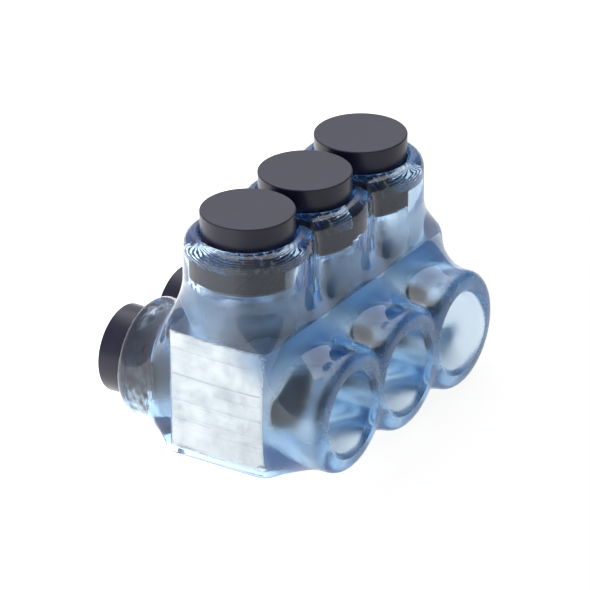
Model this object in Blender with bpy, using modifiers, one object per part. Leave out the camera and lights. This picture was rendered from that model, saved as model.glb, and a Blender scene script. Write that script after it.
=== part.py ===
"""Insulated multi-tap connector for stranded wire, modelled in metres with +Z up.

A drilled aluminium bar sits inside one soft moulded vinyl jacket. Each port of the bar
has a wire bore that runs through it front to back and a set screw that comes down from
the top. The jacket grows a tower over each screw and a sleeve round each end of each
bore. Push-in caps close the towers, and push-in plugs close the rear sleeves.

The ports lie along X, the open sleeves face -Y, the plugged ones face +Y, and the origin
is the middle of the jacket's flat underside.
"""

import math

import bmesh
import bpy
from mathutils import Matrix, Vector

# Ports
port_count = 3
port_pitch = 0.0254

# Aluminium bar
block_end_margin = 0.0136
block_depth = 0.0263
block_height = 0.0309
block_edge = 0.0004
wire_bore_radius = 0.0080
wire_bore_height = 0.0135
wire_bore_lead_in = 0.0007

# Set screws, backed out to their storage height
screw_radius = 0.0079
screw_length = 0.0115
screw_tip_lift = 0.0004
screw_chamfer = 0.0007
hex_across_flats = 0.0079
hex_depth = 0.0060

# Moulded jacket
jacket_wall = 0.0019
jacket_edge_radius = 0.0036
tower_radius = 0.0158
tower_rise = 0.0240
tower_shoulder = 0.0022
sleeve_radius = 0.01505
sleeve_length = 0.01655
open_port_radius = 0.0100

# Flares where the towers and the sleeves grow out of the body
tower_flare_width = 0.0048
tower_flare_height = 0.0085
sleeve_flare_width = 0.0045
sleeve_flare_height = 0.0090
flare_rings = 6
shoulder_rings = 3

# Push-in caps and plugs, which have a slight taper and are hollow on the inner side
cap_radius = 0.0116
cap_length = 0.0175
cap_stand = 0.0057
plug_radius = 0.01115
plug_length = 0.0175
plug_stand = 0.0075
cup_taper = 0.0004
cup_wall = 0.0021
cup_floor = 0.0026
cup_edge = 0.0003
cup_nose = 0.0008

# Clearances
seat_gap = 0.0003
thread_gap = 0.0003

# Fineness of the soft moulded form and of the turned pieces
blend_voxel = 0.0014
blend_passes = 12
blend_shrink = 0.0002
blend_keep = 0.20
round_steps = 40
small_round_steps = 32
edge_segments = 2

# Length by which a cutter passes the face that it opens
overrun = 0.004
merge_distance = 0.00002

# Sizes that follow from the ones above
block_length = (port_count - 1) * port_pitch + 2 * block_end_margin
block_bottom = jacket_wall + seat_gap
block_top = block_bottom + block_height
bore_z = block_bottom + wire_bore_height
body_length = block_length + 2 * block_bottom
body_depth = block_depth + 2 * block_bottom
body_top = block_top + block_bottom
rim_z = block_top + tower_rise
mouth_y = block_depth / 2 + sleeve_length
screw_tip_z = bore_z + wire_bore_radius + screw_tip_lift
port_xs = [(i - (port_count - 1) / 2) * port_pitch for i in range(port_count)]


def clear_scene():
    """Remove every object, so that the script can be run again."""
    for obj in list(bpy.data.objects):
        bpy.data.objects.remove(obj, do_unlink=True)


def new_collection(name):
    """A collection linked to the scene."""
    made = bpy.data.collections.new(name)
    bpy.context.scene.collection.children.link(made)
    return made


def move_to(obj, collection):
    """Take an object out of its collections and put it in one."""
    for held_in in list(obj.users_collection):
        held_in.objects.unlink(obj)
    collection.objects.link(obj)


def principled(name, colour, roughness, metallic=0.0, transmission=0.0):
    """A Principled material with one colour."""
    made = bpy.data.materials.new(name)
    made.use_nodes = True
    shader = made.node_tree.nodes["Principled BSDF"]
    shader.inputs["Base Color"].default_value = (*colour, 1.0)
    shader.inputs["Roughness"].default_value = roughness
    shader.inputs["Metallic"].default_value = metallic
    shader.inputs["Transmission Weight"].default_value = transmission
    made.diffuse_color = (*colour, 1.0 - 0.6 * transmission)
    return made


def shade_round(obj):
    """Shade smooth, with the large faces' normals carried over the narrow edges between them."""
    obj.data.shade_smooth()
    shading = obj.modifiers.new("shading", "WEIGHTED_NORMAL")
    shading.mode = "FACE_AREA"
    shading.keep_sharp = True


def box(name, low, high, collection):
    """A box between two corners, with its place in its mesh."""
    bpy.ops.mesh.primitive_cube_add(size=1.0)
    obj = bpy.context.active_object
    obj.name = name
    size = [b - a for a, b in zip(low, high)]
    middle = [(a + b) / 2 for a, b in zip(low, high)]
    obj.data.transform(Matrix.Translation(middle) @ Matrix.Diagonal((*size, 1.0)))
    move_to(obj, collection)
    return obj


def turned(name, profile, steps, collection):
    """A solid turned about Z from a profile that runs down its outer side, as (radius, z) points."""
    mesh = bpy.data.meshes.new(name)
    points = [(radius, 0.0, z) for radius, z in profile]
    mesh.from_pydata(points, [(i, i + 1) for i in range(len(points) - 1)], [])
    obj = bpy.data.objects.new(name, mesh)
    collection.objects.link(obj)
    turn = obj.modifiers.new("turn", "SCREW")
    turn.axis = "Z"
    turn.angle = 2 * math.pi
    turn.steps = steps
    turn.render_steps = steps
    turn.use_merge_vertices = True
    turn.merge_threshold = merge_distance
    turn.use_smooth_shade = True
    return obj


def lay_along_y(obj):
    """Turn an object made about Z so that its top points along +Y."""
    obj.rotation_euler = (-math.pi / 2, 0.0, 0.0)


def as_cutter(obj):
    """Show an object as a guide only."""
    obj.hide_render = True
    obj.display_type = "WIRE"


def combine(target, other, operation):
    """Join, cut or trim a solid with another by an exact Boolean."""
    made = target.modifiers.new(other.name, "BOOLEAN")
    made.operation = operation
    made.solver = "EXACT"
    made.object = other


def chamfer_edges(obj, width):
    """Take a narrow chamfer off the sharp edges of an object."""
    made = obj.modifiers.new("chamfer", "BEVEL")
    made.width = width
    made.segments = 1
    made.limit_method = "ANGLE"
    made.angle_limit = math.radians(40)


def cup_profile(radius, length):
    """Profile of a hollow push-in cup, with its closed end at the top, z = 0, and a slight taper."""
    nose_radius = radius - cup_taper
    return [
        (0.0, 0.0),
        (radius - cup_edge, 0.0),
        (radius, -cup_edge),
        (nose_radius, -length + cup_nose),
        (nose_radius - cup_nose / 2, -length),
        (nose_radius - cup_wall, -length),
        (radius - cup_wall - cup_taper / 2, -cup_floor),
        (0.0, -cup_floor),
    ]


def cup_seat_profile(radius, length, stand, depth):
    """Profile of the bore that a cup sits in: the cup's own taper and a gap, down to a depth."""
    at_mouth = radius - cup_taper * stand / length + seat_gap
    at_nose = radius - cup_taper + seat_gap
    return [
        (0.0, overrun),
        (at_mouth, overrun),
        (at_mouth, 0.0),
        (at_nose, stand - length),
        (at_nose, -depth),
        (0.0, -depth),
    ]


def make_conductor_block(parts, cutters, metal):
    """The bar: a bevelled block with a wire bore and a screw hole at each port."""
    half = block_length / 2
    block = box("conductor_block", (-half, -block_depth / 2, block_bottom),
                (half, block_depth / 2, block_top), parts)
    block.data.materials.append(metal)
    chamfer_edges(block, block_edge)
    face = block_depth / 2
    flare = wire_bore_radius + wire_bore_lead_in
    for number, x in enumerate(port_xs, start=1):
        bore = turned(f"wire_bore_{number}", [
            (0.0, face + overrun),
            (flare, face + overrun),
            (flare, face),
            (wire_bore_radius, face - wire_bore_lead_in),
            (wire_bore_radius, wire_bore_lead_in - face),
            (flare, -face),
            (flare, -face - overrun),
            (0.0, -face - overrun),
        ], round_steps, cutters)
        bore.location = (x, 0.0, bore_z)
        lay_along_y(bore)
        hole_radius = screw_radius + thread_gap
        hole = turned(f"screw_hole_{number}", [
            (0.0, block_top + overrun),
            (hole_radius, block_top + overrun),
            (hole_radius, bore_z),
            (0.0, bore_z),
        ], small_round_steps, cutters)
        hole.location = (x, 0.0, 0.0)
        for cutter in (bore, hole):
            as_cutter(cutter)
            combine(block, cutter, "DIFFERENCE")
    shade_round(block)


def make_set_screw(number, x, parts, cutters, metal):
    """A cup-tipped set screw with a hexagon socket, its origin at the middle of its tip."""
    screw = turned(f"set_screw_{number}", [
        (0.0, screw_length),
        (screw_radius - screw_chamfer, screw_length),
        (screw_radius, screw_length - screw_chamfer),
        (screw_radius, screw_chamfer),
        (screw_radius - screw_chamfer, 0.0),
        (0.0, 0.0),
    ], small_round_steps, parts)
    screw.location = (x, 0.0, screw_tip_z)
    screw.data.materials.append(metal)
    bpy.ops.mesh.primitive_cylinder_add(vertices=6, radius=hex_across_flats / math.sqrt(3),
                                        depth=hex_depth + overrun)
    socket = bpy.context.active_object
    socket.name = f"hex_socket_{number}"
    socket.location = (x, 0.0, screw_tip_z + screw_length - hex_depth + (hex_depth + overrun) / 2)
    move_to(socket, cutters)
    as_cutter(socket)
    combine(screw, socket, "DIFFERENCE")
    shade_round(screw)


def wall_distance(angle, low, high):
    """Distance from an axis to the walls of a rectangle round it, in the direction of an angle."""
    reaches = []
    for part, near, far in zip((math.cos(angle), math.sin(angle)), low, high):
        if abs(part) > 1e-6:
            reaches.append((far if part > 0 else near) / part)
    return min(reaches)


def boss_heights(foot, face, flare_height, top, shoulder):
    """Heights of a boss's sections: its foot, the flare over the body's face, and its shoulder."""
    flare = [face + flare_height * i / flare_rings for i in range(flare_rings + 1)]
    bend = [top - shoulder * (1 - math.sin(math.pi / 2 * i / shoulder_rings))
            for i in range(shoulder_rings + 1)]
    return [foot] + flare + bend


def add_boss(form, place, radius, flare, foot, face, top, shoulder, low, high):
    """Loft a boss along the Z axis of a placing matrix.

    Its sections are circles. Near the body they widen by a parabola, as far as the body's
    walls, and at the top they narrow by a quarter circle.
    """
    flare_width, flare_height = flare
    angles = [2 * math.pi * i / round_steps for i in range(round_steps)]
    rings = []
    for height in boss_heights(foot, face, flare_height, top, shoulder):
        part_left = min(max(1 - (height - face) / flare_height, 0.0), 1.0)
        widened = radius + flare_width * part_left ** 2
        into_bend = max(height - (top - shoulder), 0.0)
        loss = shoulder - math.sqrt(max(shoulder ** 2 - into_bend ** 2, 0.0))
        rings.append([form.verts.new(place @ Vector((reach * math.cos(a), reach * math.sin(a), height)))
                      for a in angles
                      for reach in [max(min(widened, wall_distance(a, low, high)), radius) - loss]])
    for lower, upper in zip(rings, rings[1:]):
        for i, j in zip(range(round_steps), [*range(1, round_steps), 0]):
            form.faces.new((lower[i], lower[j], upper[j], upper[i]))
    form.faces.new(rings[-1])
    form.faces.new(rings[0][::-1])


def soft_outer_form(parts):
    """Body, towers and sleeves as overlapping closed shells in one mesh, before they are blended."""
    half_x = body_length / 2
    half_y = body_depth / 2
    jacket = box("insulating_jacket", (-half_x, -half_y, -blend_shrink),
                 (half_x, half_y, body_top), parts)
    form = bmesh.new()
    form.from_mesh(jacket.data)
    bmesh.ops.bevel(form, geom=form.edges[:], offset=jacket_edge_radius, segments=edge_segments,
                    profile=0.5, affect="EDGES")
    for x in port_xs:
        add_boss(form, Matrix.Translation((x, 0.0, 0.0)), tower_radius + blend_shrink,
                 (tower_flare_width, tower_flare_height), bore_z, body_top,
                 rim_z + blend_shrink, tower_shoulder,
                 (-half_x - x, -half_y), (half_x - x, half_y))
        for turn in (math.pi / 2, -math.pi / 2):
            place = Matrix.Translation((x, 0.0, bore_z)) @ Matrix.Rotation(turn, 4, "X")
            floor, ceiling = (-bore_z, body_top - bore_z)
            if turn < 0:
                floor, ceiling = (-ceiling, -floor)
            add_boss(form, place, sleeve_radius + blend_shrink,
                     (sleeve_flare_width, sleeve_flare_height), 0.0, half_y,
                     mouth_y + overrun, blend_shrink,
                     (-half_x - x, floor), (half_x - x, ceiling))
    form.to_mesh(jacket.data)
    form.free()
    return jacket


def blend_outer_form(jacket):
    """Fuse the shells into one skin and soften the valleys between them, as the mould does."""
    fuse = jacket.modifiers.new("fuse", "REMESH")
    fuse.mode = "VOXEL"
    fuse.voxel_size = blend_voxel
    fuse.adaptivity = 0.0
    fuse.use_smooth_shade = True
    soften = jacket.modifiers.new("soften", "SMOOTH")
    soften.factor = 0.5
    soften.iterations = blend_passes
    thin = jacket.modifiers.new("thin", "DECIMATE")
    thin.decimate_type = "COLLAPSE"
    thin.ratio = blend_keep


def make_jacket(parts, cutters, vinyl):
    """The moulded jacket: the blended outer form, trimmed flat and hollowed for what it holds."""
    jacket = soft_outer_form(parts)
    jacket.data.materials.append(vinyl)
    blend_outer_form(jacket)
    reach = body_length / 2 + overrun
    trim = box("mould_faces", (-reach, -mouth_y, 0.0), (reach, mouth_y, rim_z), cutters)
    as_cutter(trim)
    combine(jacket, trim, "INTERSECT")
    half_x = block_length / 2 + seat_gap
    half_y = block_depth / 2 + seat_gap
    cavity = box("block_cavity", (-half_x, -half_y, jacket_wall),
                 (half_x, half_y, block_top + seat_gap), cutters)
    as_cutter(cavity)
    combine(jacket, cavity, "DIFFERENCE")
    for number, x in enumerate(port_xs, start=1):
        tower_bore = turned(f"tower_bore_{number}",
                            cup_seat_profile(cap_radius, cap_length, cap_stand,
                                             tower_rise + seat_gap / 2),
                            round_steps, cutters)
        tower_bore.location = (x, 0.0, rim_z)
        rear_bore = turned(f"rear_bore_{number}",
                           cup_seat_profile(plug_radius, plug_length, plug_stand,
                                            sleeve_length + seat_gap / 2),
                           round_steps, cutters)
        rear_bore.location = (x, mouth_y, bore_z)
        lay_along_y(rear_bore)
        front_bore = turned(f"front_bore_{number}", [
            (0.0, sleeve_length),
            (open_port_radius, sleeve_length),
            (open_port_radius, -overrun),
            (0.0, -overrun),
        ], round_steps, cutters)
        front_bore.location = (x, -mouth_y, bore_z)
        lay_along_y(front_bore)
        for cutter in (tower_bore, rear_bore, front_bore):
            as_cutter(cutter)
            combine(jacket, cutter, "DIFFERENCE")
    shade_round(jacket)


def make_screw_cap(number, x, parts, plastic):
    """A push-in cap in a tower, its origin at the middle of its outer face."""
    cap = turned(f"screw_cap_{number}", cup_profile(cap_radius, cap_length), round_steps, parts)
    cap.location = (x, 0.0, rim_z + cap_stand)
    cap.data.materials.append(plastic)
    shade_round(cap)


def make_port_plug(number, x, parts, plastic):
    """A push-in plug in a rear sleeve, its origin at the middle of its outer face."""
    plug = turned(f"port_plug_{number}", cup_profile(plug_radius, plug_length), round_steps, parts)
    plug.location = (x, mouth_y + plug_stand, bore_z)
    lay_along_y(plug)
    plug.data.materials.append(plastic)
    shade_round(plug)


def main():
    """Build every piece of the connector."""
    clear_scene()
    parts = new_collection("insulated_multi_tap_connector")
    cutters = new_collection("cutters")
    metal = principled("aluminium_alloy", (0.78, 0.80, 0.82), 0.35, metallic=1.0)
    vinyl = principled("clear_blue_vinyl", (0.55, 0.70, 0.88), 0.12, transmission=0.9)
    plastic = principled("black_plastic", (0.03, 0.03, 0.035), 0.42)
    make_jacket(parts, cutters, vinyl)
    make_conductor_block(parts, cutters, metal)
    for number, x in enumerate(port_xs, start=1):
        make_set_screw(number, x, parts, cutters, metal)
        make_screw_cap(number, x, parts, plastic)
        make_port_plug(number, x, parts, plastic)
    bpy.context.view_layer.update()


main()
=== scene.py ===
"""Insulated multi-tap connector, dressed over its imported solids.

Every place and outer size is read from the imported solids. The clear jacket is the zero level of
a blended distance field, cut by turned and gridded surfaces. The bar, the set screws and the
push-in cups are grids of two parameters.
"""

import logging
import math
from collections.abc import Callable, Iterable, Sequence
from dataclasses import dataclass
from enum import Enum

import bpy
import numpy as np
from mathutils import Matrix, Vector
from numpy.typing import NDArray


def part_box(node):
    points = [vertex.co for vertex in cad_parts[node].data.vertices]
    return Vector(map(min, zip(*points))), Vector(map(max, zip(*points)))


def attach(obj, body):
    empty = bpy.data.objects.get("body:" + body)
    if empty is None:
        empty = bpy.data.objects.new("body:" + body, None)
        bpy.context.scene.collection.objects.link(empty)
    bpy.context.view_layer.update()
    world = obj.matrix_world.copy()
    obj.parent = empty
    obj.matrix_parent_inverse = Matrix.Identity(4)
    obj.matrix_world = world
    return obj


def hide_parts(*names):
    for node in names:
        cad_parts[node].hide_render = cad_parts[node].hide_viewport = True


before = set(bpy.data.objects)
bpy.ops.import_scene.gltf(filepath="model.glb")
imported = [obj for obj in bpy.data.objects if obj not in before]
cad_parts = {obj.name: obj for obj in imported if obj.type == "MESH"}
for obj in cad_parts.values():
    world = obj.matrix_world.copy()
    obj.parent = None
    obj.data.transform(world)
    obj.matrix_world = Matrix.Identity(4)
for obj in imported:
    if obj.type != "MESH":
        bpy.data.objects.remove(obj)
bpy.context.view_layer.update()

LOG = logging.getLogger("connector")

Floats = NDArray[np.float64]
Ints = NDArray[np.int64]
Flags = NDArray[np.bool_]
Pair = tuple[float, float]
Triple = tuple[float, float, float]
Socket = bpy.types.NodeSocket
MM = 0.001
RANGE_SOCKETS = ("From Min", "From Max", "To Min", "To Max")
NOISE_SPAN = (0.3, 0.7)


# Arrays and meshes


def soft_step(value: Floats, start: float, end: float) -> Floats:
    """Rise from 0 at start to 1 at end, level at both: 3 t squared minus 2 t cubed."""
    t = np.clip((value - start) / (end - start), 0.0, 1.0)
    return t * t * (3.0 - 2.0 * t)


def whole_turn(steps: int) -> Floats:
    """Angles of even steps round a whole turn, in degrees, as one row."""
    return np.linspace(0.0, 360.0, steps, endpoint=False)[None, :]


def ripple(u: Floats, v: Floats, finest: float, seed: int, waves: int = 9) -> Floats:
    """Uneven waves over two coordinates, as a sum of seeded cosines.

    Args:
        u: First coordinate, in metres.
        v: Second coordinate, in metres.
        finest: Shortest wavelength, in metres. The longest is four times that.
        seed: Seed of the directions, lengths and phases.
        waves: Number of cosines.

    Returns:
        Heights of about -1 to 1, of the inputs' common shape.
    """
    dice = np.random.default_rng(seed)
    total = np.zeros(np.broadcast(u, v).shape)
    for turn, stretch, phase in dice.random((waves, 3)):
        wavelength = finest * 4.0**stretch
        along = u * np.cos(turn * np.pi) + v * np.sin(turn * np.pi)
        total += np.cos(2.0 * np.pi * (along / wavelength + phase))
    return total / math.sqrt(waves)


def read(items: bpy.types.bpy_prop_collection, name: str, width: int,
         kind: type = float) -> NDArray:
    """Read a property of a mesh's items.

    Args:
        items: The points, edges, corners or faces.
        name: Name of the property.
        width: Number of values that each item has.
        kind: Type of the values.

    Returns:
        The values, one row for each item.
    """
    values = np.empty(len(items) * width, kind)
    items.foreach_get(name, values)
    return values.reshape(-1, width)


def mark_points(piece: bpy.types.Object, name: str, values: Floats) -> None:
    """Let each point of a piece carry a number."""
    made = piece.data.attributes.new(name, "FLOAT", "POINT")
    made.data.foreach_set("value", values.astype(np.float32))


def placed(name: str, data: bpy.types.ID) -> bpy.types.Object:
    """Put data into the scene as an object at the origin.

    Args:
        name: Name of the object.
        data: Its mesh, lamp or camera.

    Returns:
        The object.
    """
    made = bpy.data.objects.new(name, data)
    bpy.context.scene.collection.objects.link(made)
    return made


@dataclass(frozen=True)
class Surface:
    """A closed surface as arrays.

    Attributes:
        points: Corners, one row each.
        faces: Arrays of corner numbers, one array for each number of corners a face has.
    """

    points: Floats
    faces: tuple[Ints, ...]

    def mesh(self, name: str) -> bpy.types.Mesh:
        """Put the arrays into a new mesh.

        Args:
            name: Name of the mesh.

        Returns:
            The mesh, shaded smooth.
        """
        made = bpy.data.meshes.new(name)
        corners = np.concatenate([face.ravel() for face in self.faces])
        sizes = np.concatenate([np.full(len(face), face.shape[1]) for face in self.faces])
        made.vertices.add(len(self.points))
        made.vertices.foreach_set("co", self.points.astype(np.float32).ravel())
        made.loops.add(len(corners))
        made.loops.foreach_set("vertex_index", corners.astype(np.int32))
        made.polygons.add(len(sizes))
        starts = np.concatenate([[0], np.cumsum(sizes)[:-1]])
        made.polygons.foreach_set("loop_start", starts.astype(np.int32))
        made.update(calc_edges=True)
        made.shade_smooth()
        return made

    def piece(self, name: str) -> bpy.types.Object:
        """The surface as an object in the scene, at the origin."""
        return placed(name, self.mesh(name))


class Way(Enum):
    """Direction that a turned surface's axis points in, with the turn that takes +Z there."""

    UP = ((1, 0, 0), (0, 1, 0), (0, 0, 1))
    REAR = ((1, 0, 0), (0, 0, 1), (0, -1, 0))
    FRONT = ((1, 0, 0), (0, 0, -1), (0, 1, 0))

    def turn(self, points: Floats) -> Floats:
        """Turn points made about +Z."""
        return points @ np.array(self.value, float).T


def turned(radius: Floats, height: Floats, centre: Sequence[float], way: Way = Way.UP) -> Surface:
    """A closed surface round an axis.

    Point (row i, step j) is radius times (cos a, sin a) at its height, where a is j parts of a
    whole turn. The first and the last row are closed to a point on the axis.

    Args:
        radius: Distances from the axis, rows from the top down by steps round.
        height: Heights along the axis, in the same layout.
        centre: Place of the axis's zero.
        way: Direction of the axis.

    Returns:
        The surface, with its faces pointing outwards.
    """
    radius, height = np.broadcast_arrays(radius, height)
    rows, steps = radius.shape
    angle = np.linspace(0.0, 2.0 * np.pi, steps, endpoint=False)
    rings = np.stack([radius * np.cos(angle), radius * np.sin(angle), height], axis=-1)
    poles = np.array([[0.0, 0.0, height[0].mean()], [0.0, 0.0, height[-1].mean()]])
    points = way.turn(np.concatenate([rings.reshape(-1, 3), poles])) + np.asarray(centre)
    here = np.arange(steps)
    after = np.roll(here, -1)
    row = np.arange(rows - 1)[:, None] * steps
    quads = np.stack([row + here, row + steps + here, row + steps + after, row + after], axis=-1)
    top, bottom = rows * steps, rows * steps + 1
    last = (rows - 1) * steps
    upper = np.stack([np.full(steps, top), here, after], axis=-1)
    lower = np.stack([last + here, np.full(steps, bottom), last + after], axis=-1)
    return Surface(points, (quads.reshape(-1, 4), np.concatenate([upper, lower])))


def profile_rows(profile: Iterable[Pair], steps: int) -> tuple[Floats, Floats]:
    """Spread a profile of (radius, height) points round the axis, as arrays for turned()."""
    radius, height = np.array(list(profile), float).T
    return np.repeat(radius[:, None], steps, 1), np.repeat(height[:, None], steps, 1)


def rounded_profile(corners: Sequence[Triple], arc: int = 5) -> list[Pair]:
    """Round the corners of a profile.

    Each corner with a radius is replaced by a quadratic curve between the points that lie that
    far before and after it: (1-t) squared times the first, 2 t (1-t) times the corner and
    t squared times the last.

    Args:
        corners: Points as (radius, height, rounding).
        arc: Number of points on each rounding.

    Returns:
        The profile as (radius, height) points.
    """
    points = np.array([corner[:2] for corner in corners], float)
    made: list[Pair] = []
    for index, corner in enumerate(corners):
        size = corner[2]
        if size <= 0.0:
            made.append((points[index][0], points[index][1]))
            continue
        ends = []
        for other in (index - 1, index + 1):
            side = points[other] - points[index]
            ends.append(points[index] + side / np.linalg.norm(side) * size)
        t = np.linspace(0.0, 1.0, arc)[:, None]
        bend = (1 - t) ** 2 * ends[0] + 2 * t * (1 - t) * points[index] + t**2 * ends[1]
        made.extend(map(tuple, bend.tolist()))
    return made


def grid_cells(number: Ints) -> Ints:
    """Join the points of a grid into one quad for each cell.

    Args:
        number: Numbers of the points, one row for each line of the first direction.

    Returns:
        The quads, facing along the first direction cross the second.
    """
    corners = [number[:-1, :-1], number[1:, :-1], number[1:, 1:], number[:-1, 1:]]
    return np.stack(corners, axis=-1).reshape(-1, 4)


def gridded_box(lines: tuple[Floats, Floats, Floats]) -> Surface:
    """A box whose faces are grids.

    Args:
        lines: Places of the grid lines on each axis, rising.

    Returns:
        The surface, with each corner on an edge of the box shared by its faces.
    """
    sheets, cells, count = [], [], 0
    for axis in range(3):
        first, second = (axis + 1) % 3, (axis + 2) % 3
        u, v = np.meshgrid(lines[first], lines[second], indexing="ij")
        quads = grid_cells(np.arange(u.size).reshape(u.shape))
        for level, order in ((lines[axis][-1], 1), (lines[axis][0], -1)):
            sheet = np.empty((u.size, 3))
            sheet[:, axis] = level
            sheet[:, first] = u.ravel()
            sheet[:, second] = v.ravel()
            sheets.append(sheet)
            cells.append(quads[:, ::order] + count)
            count += u.size
    points = np.concatenate(sheets)
    _, keep, merged = np.unique(np.round(points / 1e-7).astype(np.int64), axis=0,
                                return_index=True, return_inverse=True)
    return Surface(points[keep], (merged.reshape(-1)[np.concatenate(cells)],))


def grid_lines(low: float, high: float, step: float, edge: float = 0.0,
               extra: Iterable[float] = ()) -> Floats:
    """Place grid lines between two ends: even ones, finer ones near the ends, and given ones.

    The finer ones stand at the edge's width times 1 less the cosine of even angles.

    Args:
        low: The lower end.
        high: The higher end.
        step: Distance between the even lines, about.
        edge: Width from each end in which the finer lines stand.
        extra: Places of the given lines, kept where they are between the two edges.

    Returns:
        The places, rising.
    """
    count = max(2, round((high - low - 2 * edge) / step) + 1)
    lines = [np.linspace(low + edge, high - edge, count)]
    if edge > 0.0:
        part = edge * (1.0 - np.cos(np.linspace(0.0, np.pi / 2.0, 5)[:-1]))
        lines += [low + part, high - part]
    lines.append(np.array([value for value in extra if low + edge < value < high - edge]))
    return np.unique(np.round(np.concatenate(lines), 8))


def cut(piece: bpy.types.Object, cutters: Sequence[bpy.types.Object]) -> None:
    """Take the cutters' space out of a piece, bake the result and remove the cutters.

    Args:
        piece: The piece, a closed mesh.
        cutters: Closed meshes that overlap it.
    """
    for cutter in cutters:
        made = piece.modifiers.new(cutter.name, "BOOLEAN")
        made.operation = "DIFFERENCE"
        made.solver = "MANIFOLD"
        made.object = cutter
    bake(piece)
    for cutter in cutters:
        bpy.data.objects.remove(cutter)


def bake(piece: bpy.types.Object) -> None:
    """Turn a piece's modifiers into its mesh.

    Args:
        piece: The piece.
    """
    bpy.context.view_layer.update()
    seen = piece.evaluated_get(bpy.context.evaluated_depsgraph_get())
    rough = piece.data
    piece.data = bpy.data.meshes.new_from_object(seen)
    piece.data.name = piece.name
    piece.modifiers.clear()
    bpy.data.meshes.remove(rough)


def crease(piece: bpy.types.Object, degrees: float | Callable[[Floats], Floats]) -> None:
    """Shade a piece smooth, with its edges sharp where faces meet at more than an angle.

    Args:
        piece: The piece, a closed mesh.
        degrees: The angle, or a function that gives it at each edge's middle.
    """
    made = piece.data
    made.shade_smooth()
    facing = read(made.polygons, "normal", 3)
    sizes = read(made.polygons, "loop_total", 1, np.int64).ravel()
    edge_of = read(made.loops, "edge_index", 1, np.int64).ravel()
    by_edge = np.argsort(edge_of, kind="stable")
    faces = np.repeat(np.arange(len(sizes)), sizes)[by_edge].reshape(-1, 2)
    turns = np.sum(facing[faces[:, 0]] * facing[faces[:, 1]], axis=1)
    middles = read(made.vertices, "co", 3)[read(made.edges, "vertices", 2, np.int64)].mean(axis=1)
    limit = degrees(middles) if callable(degrees) else degrees
    sharp = np.degrees(np.arccos(np.clip(turns, -1.0, 1.0))) > limit
    marks = made.attributes.get("sharp_edge")
    if marks is None:
        marks = made.attributes.new("sharp_edge", "BOOLEAN", "EDGE")
    marks.data.foreach_set("value", sharp)


def dress(piece: bpy.types.Object, *materials: bpy.types.Material,
          numbers: Ints | None = None) -> None:
    """Give a piece its materials.

    Args:
        piece: The piece.
        materials: The materials, in order.
        numbers: For each face the number of its material, or None where there is only one.
    """
    piece.data.materials.clear()
    for material in materials:
        piece.data.materials.append(material)
    if numbers is None:
        numbers = np.zeros(len(piece.data.polygons))
    piece.data.polygons.foreach_set("material_index", numbers.astype(np.int32))


# Finishes


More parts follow.
